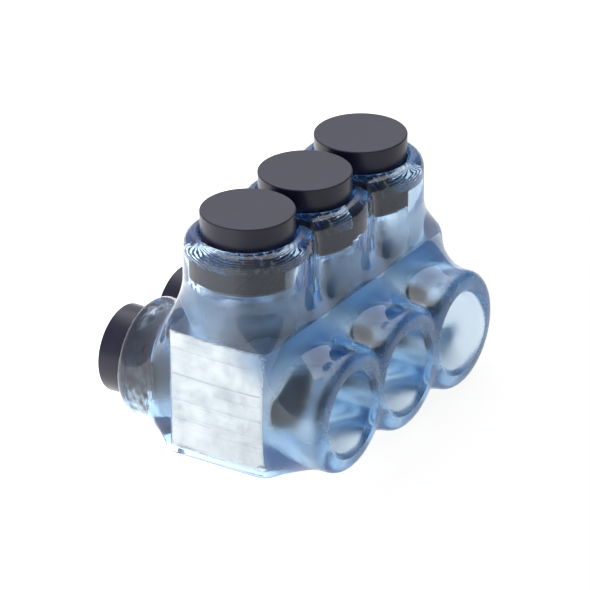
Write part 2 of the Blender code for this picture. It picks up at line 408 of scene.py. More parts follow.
class ShaderSheet:
    """A material's nodes, with short ways to add and join them."""

    def __init__(self, name: str) -> None:
        """Start a material that has only its Principled shader and its output.

        Args:
            name: Name of the material.
        """
        self.material = bpy.data.materials.new(name)
        self.material.use_nodes = True
        self.tree = self.material.node_tree
        self.shader = self.tree.nodes["Principled BSDF"]
        self.output = self.tree.nodes["Material Output"]
        self.place = self.tree.nodes.new("ShaderNodeTexCoord").outputs["Object"]

    def fixed(self, **values: float | tuple[float, ...]) -> None:
        """Set the shader's own sockets, named with _ for a space."""
        for name, value in values.items():
            self.shader.inputs[name.replace("_", " ")].default_value = value

    def join(self, source: Socket, target: Socket) -> None:
        """Join two sockets."""
        self.tree.links.new(source, target)

    def drive(self, name: str, source: Socket) -> None:
        """Join a value to one of the shader's own sockets."""
        self.join(source, self.shader.inputs[name])

    def noise(self, size: Sequence[float] | float, detail: float = 3.0, roughness: float = 0.55,
              shift: float = 0.0) -> Socket:
        """Add noise over the piece's own coordinates.

        Args:
            size: Size of its blotches in metres, one or one for each axis.
            detail: Number of finer layers.
            roughness: Strength of the finer layers.
            shift: Shift of the pattern, in blotches.

        Returns:
            The noise's value, from 0 to 1.
        """
        sizes = (size,) * 3 if isinstance(size, float) else tuple(size)
        mapping = self.tree.nodes.new("ShaderNodeMapping")
        mapping.inputs["Scale"].default_value = [1.0 / value for value in sizes]
        mapping.inputs["Location"].default_value = (shift, shift * 0.7, shift * 1.3)
        made = self.tree.nodes.new("ShaderNodeTexNoise")
        made.inputs["Scale"].default_value = 1.0
        made.inputs["Detail"].default_value = detail
        made.inputs["Roughness"].default_value = roughness
        self.join(self.place, mapping.inputs["Vector"])
        self.join(mapping.outputs["Vector"], made.inputs["Vector"])
        return made.outputs["Fac"]

    def spread(self, value: Socket, source: Pair, target: Pair) -> Socket:
        """Take a value from one range to another, held at its ends.

        Args:
            value: The value.
            source: Range that it comes from.
            target: Range that it goes to.

        Returns:
            The value in its new range.
        """
        made = self.tree.nodes.new("ShaderNodeMapRange")
        self.join(value, made.inputs["Value"])
        for name, number in zip(RANGE_SOCKETS, (*source, *target)):
            made.inputs[name].default_value = number
        return made.outputs["Result"]

    def mixed(self, share: Socket, first: Socket | Triple, second: Socket | Triple) -> Socket:
        """Mix two colours.

        Args:
            share: Share of the second, from 0 to 1.
            first: The first colour.
            second: The second colour.

        Returns:
            The mixed colour.
        """
        made = self.tree.nodes.new("ShaderNodeMix")
        made.data_type = "RGBA"
        self.join(share, made.inputs[0])
        for socket, colour in ((made.inputs[6], first), (made.inputs[7], second)):
            if isinstance(colour, tuple):
                socket.default_value = (*colour, 1.0)
            else:
                self.join(colour, socket)
        return made.outputs[2]

    def between(self, share: Socket, first: Socket, second: Socket) -> Socket:
        """Mix two values.

        Args:
            share: Share of the second, from 0 to 1.
            first: The first value.
            second: The second value.

        Returns:
            The mixed value.
        """
        made = self.tree.nodes.new("ShaderNodeMix")
        for number, value in ((0, share), (2, first), (3, second)):
            self.join(value, made.inputs[number])
        return made.outputs[0]

    def attribute(self, name: str) -> Socket:
        """Add a number that the piece's own points carry.

        Args:
            name: Name that the points carry it by.

        Returns:
            The number.
        """
        made = self.tree.nodes.new("ShaderNodeAttribute")
        made.attribute_name = name
        return made.outputs["Fac"]

    def bumps(self, layers: Iterable[tuple[Socket, float]]) -> None:
        """Raise the surface by layers.

        Args:
            layers: For each layer its value, and its height in metres where the value is 1.
        """
        under = None
        for value, height in layers:
            made = self.tree.nodes.new("ShaderNodeBump")
            made.inputs["Strength"].default_value = 1.0
            made.inputs["Distance"].default_value = height
            self.join(value, made.inputs["Height"])
            if under is not None:
                self.join(under, made.inputs["Normal"])
            under = made.outputs["Normal"]
        self.join(under, self.shader.inputs["Normal"])


@dataclass(frozen=True)
class ClearVinyl:
    """Clear soft vinyl, tinted through its thickness, with the soft waves of a dipped skin.

    Attributes:
        tint: Colour of light that has gone through, per unit of density.
        density: Strength of the tint, per metre.
        bend: Index of refraction.
        clearness: Share of the light that isn't scattered at a face.
        body: Colour that each face gives the light.
        skin: Lowest and highest roughness of its glossy outside.
        matt: Lowest and highest roughness of a fully matt wall.
        waves: Size and height of its soft waves.
        pores: Size and height of its finest unevenness.
    """

    tint: Triple = (0.20, 0.57, 0.84)
    density: float = 72.0
    bend: float = 1.53
    clearness: float = 1.0
    body: Triple = (0.965, 0.98, 0.995)
    skin: Pair = (0.02, 0.06)
    matt: Pair = (0.58, 0.80)
    waves: Pair = (14 * MM, 0.05 * MM)
    pores: Pair = (2.5 * MM, 0.002 * MM)

    def material(self) -> bpy.types.Material:
        """Build the material.

        Returns:
            A material with absorption inside and uneven gloss outside.
        """
        sheet = ShaderSheet("clear_blue_vinyl")
        sheet.fixed(Base_Color=(*self.body, 1.0), IOR=self.bend,
                    Transmission_Weight=self.clearness)
        blotches = sheet.noise(6 * MM)
        glossy = sheet.spread(blotches, NOISE_SPAN, self.skin)
        matt = sheet.spread(blotches, NOISE_SPAN, self.matt)
        sheet.drive("Roughness", sheet.between(sheet.attribute("mattness"), glossy, matt))
        sheet.bumps([(sheet.noise(self.waves[0], detail=1.0), self.waves[1]),
                     (sheet.noise(self.pores[0], detail=2.0, shift=3.0), self.pores[1])])
        inside = sheet.tree.nodes.new("ShaderNodeVolumeAbsorption")
        inside.inputs["Color"].default_value = (*self.tint, 1.0)
        inside.inputs["Density"].default_value = self.density
        sheet.join(inside.outputs["Volume"], sheet.output.inputs["Volume"])
        return sheet.material


class Grain(Enum):
    """Direction of the fine lines on bare metal, as the size of a blotch on each axis."""

    DRAWN = (40 * MM, 0.16 * MM, 0.16 * MM)
    SAWN = (0.5 * MM, 22 * MM, 0.22 * MM)
    # Grain of the bores' finish, which is darkened as painted shade.
    DRILLED = (0.5 * MM, 0.5 * MM, 0.5 * MM)


@dataclass(frozen=True)
class MillAluminium:
    """Bare extruded aluminium, drawn along its length and sawn to length.

    Attributes:
        grain: Direction of its lines.
        bright: Its clean colour.
        dull: Its colour in the lines and blotches.
        marked: Its colour at the bottom of a saw mark.
        shade_tint: Its colour in the painted shade at the bar's near top corner, blue-grey.
    """

    grain: Grain
    bright: Triple = (0.95, 0.93, 0.88)
    dull: Triple = (0.60, 0.62, 0.66)
    marked: Triple = (0.30, 0.34, 0.40)
    # Painted shade: blue-grey colour put at the bar's near top corner.
    shade_tint: Triple = (0.27, 0.38, 0.52)

    def material(self) -> bpy.types.Material:
        """Build the material.

        Returns:
            A metal with lines along its grain, faint blotches and grit. The points carry the
            shares of its marked colour and of a blue-grey painted shade.
        """
        sheet = ShaderSheet(f"mill_aluminium_{self.grain.name.lower()}")
        lines = sheet.noise(self.grain.value, detail=2.0)
        blotches = sheet.noise(5 * MM, detail=5.0, roughness=0.65, shift=2.0)
        grit = sheet.noise(0.9 * MM, detail=6.0, roughness=0.7, shift=4.0)
        colour = self.bright
        for value, source, most in ((lines, (0.40, 0.27), 0.60), (blotches, (0.50, 0.30), 0.28),
                                    (grit, (0.46, 0.32), 0.45)):
            colour = sheet.mixed(sheet.spread(value, source, (0.0, most)), colour, self.dull)
        # The second mark mixes in a blue-grey painted shade at the bar's near top corner.
        for name, paint in (("saw_mark", self.marked), ("painted_corner_shade", self.shade_tint)):
            colour = sheet.mixed(sheet.attribute(name), colour, paint)
        sheet.drive("Base Color", colour)
        sheet.fixed(Metallic=0.9)
        sheet.drive("Roughness", sheet.spread(blotches, NOISE_SPAN, (0.52, 0.34)))
        sheet.bumps([(lines, 0.02 * MM), (blotches, 0.03 * MM)])
        return sheet.material


@dataclass(frozen=True)
class TurnedAluminium:
    """Aluminium turned on a lathe, a little duller where it is smeared.

    Attributes:
        colour: Its clean colour.
        dull: Its colour where it is smeared.
    """

    colour: Triple = (0.80, 0.81, 0.83)
    dull: Triple = (0.48, 0.50, 0.53)

    def material(self) -> bpy.types.Material:
        """Build the material.

        Returns:
            A metal with fine rings across Z and uneven gloss.
        """
        sheet = ShaderSheet("turned_aluminium")
        rings = sheet.noise((6 * MM, 6 * MM, 0.12 * MM), detail=2.0)
        smears = sheet.noise(3 * MM, detail=4.0, shift=1.0)
        smeared = sheet.spread(smears, (0.55, 0.35), (0.0, 0.5))
        sheet.drive("Base Color", sheet.mixed(smeared, self.colour, self.dull))
        sheet.fixed(Metallic=1.0)
        sheet.drive("Roughness", sheet.spread(rings, NOISE_SPAN, (0.22, 0.38)))
        sheet.bumps([(rings, 0.008 * MM)])
        return sheet.material


@dataclass(frozen=True)
class SatinPlastic:
    """Black moulded plastic with a satin skin.

    Attributes:
        colour: Its colour.
        paler: How much paler it is where the melt flowed thin.
        gloss: Lowest and highest roughness of its skin.
    """

    colour: Triple = (0.008, 0.007, 0.020)
    paler: float = 1.5
    gloss: Pair = (0.26, 0.34)

    def material(self) -> bpy.types.Material:
        """Build the material.

        Returns:
            A dark dielectric with a faint flow pattern and a fine grain.
        """
        sheet = ShaderSheet("black_satin_plastic")
        flow = sheet.noise(9 * MM, detail=4.0)
        grain = sheet.noise(0.25 * MM, detail=2.0, shift=5.0)
        thin = tuple(value * self.paler for value in self.colour)
        share = sheet.spread(flow, (0.35, 0.65), (0.0, 1.0))
        sheet.drive("Base Color", sheet.mixed(share, self.colour, thin))
        sheet.fixed(IOR=1.5, Specular_IOR_Level=0.36)
        sheet.drive("Roughness", sheet.spread(flow, NOISE_SPAN, self.gloss))
        sheet.bumps([(grain, 0.0006 * MM), (flow, 0.02 * MM)])
        return sheet.material


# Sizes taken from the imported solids


@dataclass(frozen=True)
class Extent:
    """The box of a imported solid, in metres.

    Attributes:
        low: Its lowest corner.
        high: Its highest corner.
    """

    low: Vector
    high: Vector

    @classmethod
    def of(cls, node: str) -> "Extent":
        """Read the box of a node."""
        return cls(*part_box(node))

    @property
    def middle(self) -> Vector:
        """Its middle."""
        return (self.low + self.high) / 2.0

    @property
    def size(self) -> Vector:
        """Its sides' lengths."""
        return self.high - self.low


@dataclass(frozen=True)
class PortRow:
    """The row of ports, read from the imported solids.

    Attributes:
        bar: Box of the aluminium bar.
        caps: Boxes of the screw caps.
        plugs: Boxes of the rear plugs.
        screws: Boxes of the set screws.
        skin: Box of the jacket.
    """

    bar: Extent
    caps: tuple[Extent, ...]
    plugs: tuple[Extent, ...]
    screws: tuple[Extent, ...]
    skin: Extent

    @classmethod
    def from_solids(cls) -> "PortRow":
        """Read every box.

        Returns:
            The row, in the order of its ports.
        """
        numbers = (1, 2, 3)
        return cls(
            bar=Extent.of("conductor_block"),
            caps=tuple(Extent.of(f"screw_cap_{number}") for number in numbers),
            plugs=tuple(Extent.of(f"port_plug_{number}") for number in numbers),
            screws=tuple(Extent.of(f"set_screw_{number}") for number in numbers),
            skin=Extent.of("insulating_jacket"),
        )

    @property
    def ports(self) -> tuple[float, ...]:
        """Places of the ports along X."""
        return tuple(cap.middle.x for cap in self.caps)

    @property
    def bore_z(self) -> float:
        """Height of the wire bores' axes."""
        return self.plugs[0].middle.z


# Jacket


@dataclass(frozen=True)
class MouldForm:
    """The jacket's outer form, as a field of distances that is negative inside.

    A box round the bar, a round tower over each screw and a round sleeve at each end of each bore
    are joined by the lowest of their distances. Towers and sleeves widen by a parabola where they
    leave the box. The field is blurred, the valleys first, and cut by the flat faces.

    Attributes:
        row: The ports.
        wall: Thickness between the bar and the outside.
        tower_radius: Radius of a tower.
        sleeve_radius: Radius of a sleeve.
        tower_flare: Width and height of a tower's flare.
        sleeve_flare: Width and length of a sleeve's flare.
        fill: Reach of the blur that fills valleys.
        soften: Reach of the blur that rounds every edge.
        shoulder: Width of the bend between a tower's side and its rim.
        lip: Width of the bend between a sleeve's side and its mouth.
        crown: Radius of a mouth's foremost ring, and how far it falls back over what width.
        foot: Width of the bend between the sides and the flat underside.
        sole: Depth of the box below the flat underside, which keeps the blur off its edge.
        cell: Size of the field's cells.
    """

    row: PortRow
    wall: float = 2.2 * MM
    tower_radius: float = 15.8 * MM
    sleeve_radius: float = 15.3 * MM
    tower_flare: Pair = (4.8 * MM, 9.0 * MM)
    sleeve_flare: Pair = (4.5 * MM, 9.0 * MM)
    fill: float = 3.5 * MM
    soften: float = 1.5 * MM
    shoulder: float = 4.0 * MM
    lip: float = 1.6 * MM
    crown: Triple = (12.0 * MM, 0.8 * MM, 3.0 * MM)
    foot: float = 1.0 * MM
    sole: float = 2.0 * MM
    cell: float = 0.8 * MM

    @staticmethod
    def box_distance(place: Sequence[Floats], low: Sequence[float],
                     high: Sequence[float]) -> Floats:
        """Distance to a box: how far a place is outside it, or minus how deep it is inside.

        Args:
            place: The three coordinates.
            low: The box's lowest corner.
            high: The box's highest corner.

        Returns:
            Distances, negative inside.
        """
        over = [np.abs(value - (a + b) / 2.0) - (b - a) / 2.0
                for value, a, b in zip(place, low, high)]
        outside = np.sqrt(sum(np.maximum(value, 0.0) ** 2 for value in over))
        return outside + np.minimum(np.maximum(np.maximum(over[0], over[1]), over[2]), 0.0)

    @staticmethod
    def blurred(values: Floats, reach: float) -> Floats:
        """Blur a field by a bell curve along each axis in turn.

        Args:
            values: The field.
            reach: Standard deviation of the curve, in cells.

        Returns:
            The blurred field, with its outer cells repeated beyond its ends.
        """
        half = int(np.ceil(3 * reach))
        weights = np.exp(-0.5 * (np.arange(-half, half + 1) / reach) ** 2)
        weights /= weights.sum()
        for axis in range(3):
            margins = [(half, half) if axis == other else (0, 0) for other in range(3)]
            padded = np.moveaxis(np.pad(values, margins, mode="edge"), axis, 0)
            count = values.shape[axis]
            total = sum(weight * padded[shift:shift + count]
                        for shift, weight in enumerate(weights))
            values = np.moveaxis(total, 0, axis)
        return values

    @staticmethod
    def bend_cut(first: Floats, second: Floats, width: float) -> Floats:
        """The larger of two fields, rounded where they are within a width of each other.

        The rounding adds h squared times a quarter of the width, where h falls from 1, where the
        fields are equal, to 0, where they are a width apart.

        Args:
            first: One field.
            second: The other field.
            width: Width of the bend.

        Returns:
            The rounded larger field.
        """
        near = np.maximum(width - np.abs(first - second), 0.0) / width
        return np.maximum(first, second) + near * near * width / 4.0

    def distances(self) -> tuple[Floats, Floats]:
        """Work out the field.

        Returns:
            The field over the cells' corners, and the place of its first corner.
        """
        row, cell = self.row, self.cell
        low = np.array(row.bar.low) - self.wall - np.array([0.0, 0.0, self.sole])
        high = np.array(row.bar.high) + self.wall
        mouth, rim = row.skin.high.y, row.skin.high.z
        margin = 4.5 * cell
        start = np.array([low[0], -mouth, low[2]]) - margin
        stop = np.array([high[0], mouth, rim]) + margin
        x, y, z = np.meshgrid(*[np.arange(a, b + cell, cell) for a, b in zip(start, stop)],
                              indexing="ij", sparse=True)
        far = 0.1
        field = self.box_distance((x, y, z), low, high)
        column = self.box_distance((x, y, z), (low[0], low[1], -far), (high[0], high[1], far))
        trough = self.box_distance((x, y, z), (low[0], -far, low[2]), (high[0], far, high[2]))
        width, height = self.tower_flare
        tower_flare = width * np.clip((high[2] + height - z) / height, 0.0, 1.0) ** 2
        width, length = self.sleeve_flare
        sleeve_flare = width * np.clip((high[1] + length - np.abs(y)) / length, 0.0, 1.0) ** 2
        for port in row.ports:
            tower = np.hypot(x - port, y) - self.tower_radius
            foot = row.bore_z - z
            sleeve = np.hypot(x - port, z - row.bore_z) - self.sleeve_radius
            flared_tower = np.maximum(np.maximum(tower - tower_flare, column), foot)
            flared_sleeve = np.maximum(sleeve - sleeve_flare, trough)
            for shape in (np.maximum(tower, foot), flared_tower, sleeve, flared_sleeve):
                field = np.minimum(field, shape)
        field = np.minimum(field, self.blurred(field, self.fill / cell))
        field = self.blurred(field, self.soften / cell)
        field = self.bend_cut(field, z - rim, self.shoulder)
        nearest = np.min([np.hypot(x - port, z - row.bore_z) for port in row.ports], axis=0)
        radius, drop, width = self.crown
        fall = drop * np.clip((nearest - radius) / width, 0.0, 1.5) ** 2
        field = self.bend_cut(field, np.abs(y) - mouth + fall, self.lip)
        return self.bend_cut(field, row.skin.low.z - z, self.foot), start

    def surface(self) -> Surface:
        """Draw the field's zero level as quads.

        Each cell that the level passes gets one point, the mean of the places where the level
        crosses the cell's edges. Each crossed edge gets one quad between its four cells.

        Returns:
            The smoothed surface.
        """
        field, start = self.distances()
        inside = field < 0.0
        shape = tuple(size - 1 for size in field.shape)
        sums = np.zeros((*shape, 3))
        counts = np.zeros(shape)
        crossings = []
        for axis in range(3):
            near = tuple(slice(None, -1) if axis == other else slice(None) for other in range(3))
            far = tuple(slice(1, None) if axis == other else slice(None) for other in range(3))
            cell = np.stack(np.nonzero(inside[near] != inside[far]), axis=1)
            before = field[near][tuple(cell.T)]
            place = cell.astype(float)
            place[:, axis] += before / (before - field[far][tuple(cell.T)])
            first, second = (axis + 1) % 3, (axis + 2) % 3
            ring = []
            for back_first, back_second in ((1, 1), (0, 1), (0, 0), (1, 0)):
                around = cell.copy()
                around[:, first] -= back_first
                around[:, second] -= back_second
                np.add.at(sums, tuple(around.T), place)
                np.add.at(counts, tuple(around.T), 1.0)
                ring.append(around)
            crossings.append((ring, before < 0.0))
        used = counts > 0.0
        number = np.full(shape, -1)
        number[used] = np.arange(used.sum())
        points = sums[used] / counts[used][:, None] * self.cell + start
        quads = []
        for ring, outward in crossings:
            quad = np.stack([number[tuple(around.T)] for around in ring], axis=1)
            quads.append(np.where(outward[:, None], quad, quad[:, ::-1]))
        joined = np.concatenate(quads)
        return Surface(self.relaxed(points, joined), (joined,))

    @staticmethod
    def relaxed(points: Floats, quads: Ints, rounds: int = 6) -> Floats:
        """Even out the points without shrinking the surface.

        Each round moves every point a share of the way to the mean of its neighbours, and then a
        slightly larger share back.

        Args:
            points: The corners.
            quads: The faces.
            rounds: Number of rounds.

        Returns:
            The moved corners.
        """
        near = quads.ravel()
        other = np.roll(quads, -1, axis=1).ravel()
        count = np.bincount(near, minlength=len(points))[:, None]
        for _ in range(rounds):
            for share in (0.5, -0.53):
                mean = np.stack([np.bincount(near, points[other, axis], len(points))
                                 for axis in range(3)], axis=1)
                points = points + share * (mean / count - points)
        return points


@dataclass(frozen=True)
class WetPatch:
    """A patch where the soft wall clings to what it holds, so that nothing but plastic shows.

    Attributes:
        start: First angle round the bore, in degrees.
        end: Last angle, in degrees.
        low: Lowest place along the bore.
        high: Highest place along the bore.
    """

    start: float
    end: float
    low: float
    high: float

    def covers(self, degrees: Floats, along: Floats) -> Flags:
        """Tell which places the patch covers.

        Args:
            degrees: Angles round the bore, as a row.
            along: Places along the bore, as a column.

        Returns:
            For each place whether it lies inside the patch's ragged edge.
        """
        place = along + ripple(np.radians(degrees) * 12 * MM, along, 1.5 * MM, 7) * 0.12 * MM
        turn = np.mod(degrees - self.start, 360.0)
        return (turn < self.end - self.start) & (place > self.low) & (place < self.high)


@dataclass(frozen=True)
class AirBubble:
    """A bubble caught in the vinyl.

    Attributes:
        centre: Its middle.
        radii: Its half sizes on each axis.
    """

    centre: Triple
    radii: Triple

    def surface(self) -> Surface:
        """A ball stretched to the radii: radius sin t and height cos t, for t from 0 to pi.

        Returns:
            The bubble's surface.
        """
        t = np.linspace(0.0, np.pi, 11)[1:-1, None] + np.zeros((1, 14))
        ball = turned(np.sin(t), np.cos(t), (0.0, 0.0, 0.0))
        poles = ball.points.copy()
        poles[-2:, 2] = (1.0, -1.0)
        return Surface(poles * np.array(self.radii) + np.array(self.centre), ball.faces)


class Matt(Enum):
    """How matt each kind of wall is, from 0 to 1."""

    COVERED = 1.0
    CORED = 0.5
    LIP = 0.35
    RIM = 0.25
    RINGED = 0.02


@dataclass(frozen=True)
class MouldedJacket:
    """The clear jacket: its moulded outside, and bores that still show the rings of their cores.

    Attributes:
        row: The ports.
        ring_pitch: Distance between the core's rings.
        ring_depth: Depth of the rings.
        ring_reach: Depth by which their crests press into the cup.
        cling: Depth by which a clinging wall reaches into what it holds.
        slack: Gap between a cap and the wall below the rings.
        press: Middle and spread of the side where a tower presses hardest on its cap, in degrees.
        bar_gap: Gap between the bar and the wall.
        open_radius: Radius of an open sleeve's bore.
        overrun: Length by which a bore passes the jacket's face.
        lap: Gap between a bore's inner end and the bar, less than the gap round the bar.
        cores: Radii up to which a wall is a core's, in a tower, an open sleeve and a rear one.
        limits: Angle over which an edge is sharp, on the rings and elsewhere, in degrees.
        steps: Number of steps round a bore.
        patches: Where each tower's bore clings to its cap, the band below the rings first.
    """

    row: PortRow
    ring_pitch: float = 0.38 * MM
    ring_depth: float = 0.06 * MM
    ring_reach: float = 0.015 * MM
    cling: float = 0.04 * MM
    slack: float = 0.06 * MM
    press: Pair = (227.0, 34.0)
    bar_gap: float = 0.12 * MM
    open_radius: float = 10.0 * MM
    overrun: float = 4.0 * MM
    lap: float = 0.02 * MM
    cores: Triple = (11.9 * MM, 10.25 * MM, 11.6 * MM)
    limits: Pair = (9.0, 38.0)
    steps: int = 104
    patches: tuple[tuple[WetPatch, ...], ...] = (
        (WetPatch(132, 254, 45.2 * MM, 51.2 * MM), WetPatch(20, 70, 45.2 * MM, 50.5 * MM)),
        (WetPatch(120, 272, 45.2 * MM, 50.8 * MM), WetPatch(272, 304, 47.5 * MM, 57.6 * MM)),
        (WetPatch(105, 272, 45.2 * MM, 50.6 * MM), WetPatch(310, 400, 45.2 * MM, 52.0 * MM)),
    )

    @staticmethod
    def crests(along: Floats, rings: Floats) -> Floats:
        """Mark every other ring of a bore.

        Args:
            along: Places along the bore, the first of them past its mouth.
            rings: Places of the rings, which follow the first.

        Returns:
            For each place 1 on a crest and 0 elsewhere.
        """
        marks = np.zeros_like(along)
        marks[1:1 + len(rings):2] = 1.0
        return marks

    @staticmethod
    def rolled(inward: Floats, width: float, reach: float) -> Floats:
        """Roll a bore's mouth: the width times the square of 1 less the way in over the reach."""
        return width * np.clip(1.0 - inward / reach, 0.0, 1.0) ** 2

    def tower_bore(self, cap: Extent, patches: Sequence[WetPatch], floor: float) -> Surface:
        """The bore round a screw cap.

        Its radius is the cap's, which falls evenly to the inner end, less the reach, plus a zigzag
        of rings. On the side that presses hardest the rings are nearly flat, so that most of each
        touches the cap and only specks of air are left. The mouth is rolled.

        Args:
            cap: Box of the cap.
            patches: Where it clings to the cap.
            floor: Height of the bore's inner end.

        Returns:
            The bore, past the jacket's face.
        """
        mouth, band = self.row.skin.high.z, patches[0].high
        step = 0.5 * self.ring_pitch
        rings = np.arange(mouth + step, band - 2.0 * step, -step)
        lower = np.arange(rings[-1], cap.low.z - 0.5 * MM, -0.5 * MM)[1:]
        inner = np.linspace(lower[-1], floor, 5)[1:]
        along = np.concatenate([[mouth + self.overrun], rings, lower, inner])[:, None]
        degrees = whole_turn(self.steps * 3 // 2)
        radius = cap.size.x / 2.0
        tight = self.cup_side(cap.high.z, cap.low.z, radius, along)
        speckle = ripple(np.radians(degrees) * radius, along, 0.9 * MM, 11)
        side, spread = self.press
        pressed = np.exp(-((degrees - side) / spread) ** 4)
        pressed = pressed * soft_step(mouth - along, 0.8 * MM, 2.2 * MM)
        zigzag = self.ring_depth * self.crests(along, rings) * (1.0 + 0.3 * speckle)
        zigzag = zigzag * (1.0 - 0.75 * pressed) + 0.03 * MM * pressed * (speckle > 0.8)
        ringed = along > band - self.ring_pitch
        wall = tight + np.where(ringed, zigzag - self.ring_reach, self.slack)
        clinging = np.any([patch.covers(degrees, along) for patch in patches], axis=0)
        wall = np.where(clinging, tight - self.cling, wall)
        wall = wall + self.rolled(mouth - along, 1.0 * MM, 1.5 * MM)
        return turned(wall, along, (cap.middle.x, 0.0, 0.0), Way.UP)

    def rear_bore(self, plug: Extent, floor: float) -> Surface:
        """The bore round a port plug: shallow rings that press into it, and a rolled mouth.

        On its underside the wall sags off the plug.

        Args:
            plug: Box of the plug.
            floor: Distance of the bore's inner end from the bar's middle.

        Returns:
            The bore, past the jacket's face.
        """
        mouth = self.row.skin.high.y
        rings = np.arange(mouth, plug.low.y - 0.2 * MM, -0.5 * self.ring_pitch)
        inner = np.linspace(rings[-1], floor, 7)[1:]
        along = np.concatenate([[mouth + self.overrun], rings, inner])[:, None]
        degrees = whole_turn(self.steps)
        radius = plug.size.x / 2.0
        uneven = 1.0 + 0.5 * ripple(np.radians(degrees) * radius, along, 2.0 * MM, 13)
        zigzag = 0.5 * self.ring_depth * self.crests(along, rings) * uneven
        roll = self.rolled(mouth - along, 1.0 * MM, 1.8 * MM)
        behind = 0.6 * MM * (along < plug.low.y - 0.2 * MM)
        sagged = 0.12 * MM * soft_step(np.sin(np.radians(degrees)), 0.75, 0.95)
        wall = self.cup_side(plug.high.y, plug.low.y, radius, along) + zigzag - self.ring_reach
        centre = (plug.middle.x, 0.0, plug.middle.z)
        return turned(wall + roll + sagged - behind, along, centre, Way.REAR)

    @staticmethod
    def cup_side(outer: float, inner: float, radius: float, along: Floats) -> Floats:
        """Radius of a cup's side, which falls by 0.4 mm from its outer to its inner end."""
        return radius - 0.4 * MM * np.clip((outer - along) / (outer - inner), 0.0, 1.0)

    def open_bore(self, port: float, floor: float) -> Surface:
        """The bore of an open sleeve: straight, with faint rings near its rolled mouth.

        Args:
            port: Place of the bore on X.
            floor: Distance of the bore's inner end from the bar's middle.

        Returns:
            The bore, past the jacket's face.
        """
        mouth, reach = self.row.skin.high.y, 5.0 * MM
        rings = np.arange(mouth, mouth - reach, -0.275 * MM)
        inner = np.linspace(rings[-1], floor, 8)[1:]
        along = np.concatenate([[mouth + self.overrun], rings, inner])[:, None]
        zigzag = 0.025 * MM * self.crests(along, rings)
        fade = soft_step(along, mouth - reach, mouth - 0.7 * reach)
        round_wall = np.radians(whole_turn(self.steps)) * self.open_radius
        waves = 0.04 * MM * ripple(round_wall, along, 5.0 * MM, 23)
        roll = self.rolled(mouth - along, 1.3 * MM, 1.6 * MM)
        wall = self.open_radius + zigzag * fade + waves + roll
        return turned(wall, along, (port, 0.0, self.row.bore_z), Way.FRONT)

    def bar_cavity(self) -> Surface:
        """The space round the bar.

        Its faces stand a gap off the bar. Over most of each end the wall clings to the sawn metal:
        there the face reaches the cling's depth into the bar, inside a ragged border.

        Returns:
            The cavity's surface.
        """
        bar, gap = self.row.bar, self.bar_gap
        low, high = np.array(bar.low) - gap, np.array(bar.high) + gap
        box = gridded_box((grid_lines(low[0], high[0], 8.0 * MM),
                           grid_lines(low[1], high[1], 0.45 * MM),
                           grid_lines(low[2], high[2], 0.45 * MM)))
        points = box.points.copy()
        y, z = points[:, 1], points[:, 2]
        edge = np.min([y - low[1], high[1] - y, z - low[2], high[2] - z], axis=0)
        ragged = edge - 0.50 * MM - 0.32 * MM * ripple(y, z, 1.1 * MM, 5)
        for end, side in ((low[0], -1.0), (high[0], 1.0)):
            clings = (np.abs(points[:, 0] - end) < 1e-6) & (edge > 1e-6) & (ragged > 0.0)
            points[clings, 0] = end - side * (gap + self.cling)
        return Surface(points, box.faces)

    def bubbles(self) -> list[AirBubble]:
        """Small bubbles at the corners of the bar's near end, where the vinyl closed last.

        Returns:
            The bubbles, three at the top corner and four along the bottom edge.
        """
        bar = self.row.bar
        x, y, top, bottom = bar.low.x, bar.low.y, bar.high.z, bar.low.z
        spots = [
            ((-0.60, 0.35, -0.30), (0.30, 0.55, 0.50)),
            ((-0.60, -0.35, -1.60), (0.28, 0.42, 0.55)),
            ((-0.60, -0.75, -0.70), (0.26, 0.40, 0.36)),
        ]
        low_spots = [
            ((-0.60, 0.60, 0.75), (0.26, 1.00, 0.42)),
            ((-0.60, -0.45, 0.95), (0.26, 0.45, 0.52)),
            ((-0.50, 22.0, -0.10), (0.26, 3.8, 0.44)),
            ((-0.50, 17.2, -0.20), (0.22, 1.6, 0.30)),
        ]
        made = []
        for base, group in ((top, spots), (bottom, low_spots)):
            for (dx, dy, dz), radii in group:
                made.append(AirBubble((x + dx * MM, y + dy * MM, base + dz * MM),
                                      tuple(value * MM for value in radii)))
        return made

    def mattness(self, places: Floats) -> Floats:
        """Tell how matt each point is: the mould's cores were rougher than its outer halves.

        Args:
            places: The jacket's points.

        Returns:
            How matt each point is. A wall behind a plug or below a cap counts as covered, the
            underside as cored, and the rest of the outside isn't matt.
        """
        x, y, z = places.T
        bar, margin = self.row.bar, 0.3 * MM
        tower, front, rear = self.cores
        inside = (np.abs(x) < bar.high.x + margin) & (np.abs(y) < bar.high.y + margin)
        inside &= (z > bar.low.z - margin) & (z < bar.high.z + margin)
        for cap in self.row.caps:
            inside |= (np.hypot(x - cap.middle.x, y) < tower) & (z > bar.high.z)
            around = np.hypot(x - cap.middle.x, z - self.row.bore_z)
            inside |= (around < np.where(y < 0.0, front, rear)) & (np.abs(y) > bar.high.y)
        cap, plug = self.row.caps[0], self.row.plugs[0]
        ringed = (z > cap.low.z - 1.0 * MM) | (y > plug.low.y - 0.1 * MM)
        covered = (y > bar.high.y + margin) | (z > bar.high.z + margin)
        cored = np.where(covered, Matt.COVERED.value, Matt.CORED.value)
        cored = np.where(ringed, Matt.RINGED.value, cored) * inside
        face, top = self.row.skin.high.y, self.row.skin.high.z
        lip = Matt.LIP.value * soft_step(-y, face - 4.0 * MM, face - 2.0 * MM)
        rim = Matt.RIM.value * soft_step(z, top - 1.2 * MM, top - 0.3 * MM)
        under = Matt.CORED.value * (1.0 - soft_step(z, 2.0 * MM, 7.0 * MM))
        under = under * soft_step(np.abs(y), bar.high.y, bar.high.y + 3.0 * MM)
        sole = Matt.CORED.value * (z < self.row.skin.low.z + 0.2 * MM)
        return np.where(sole > 0.0, sole, np.max([cored, lip, rim, under], axis=0))

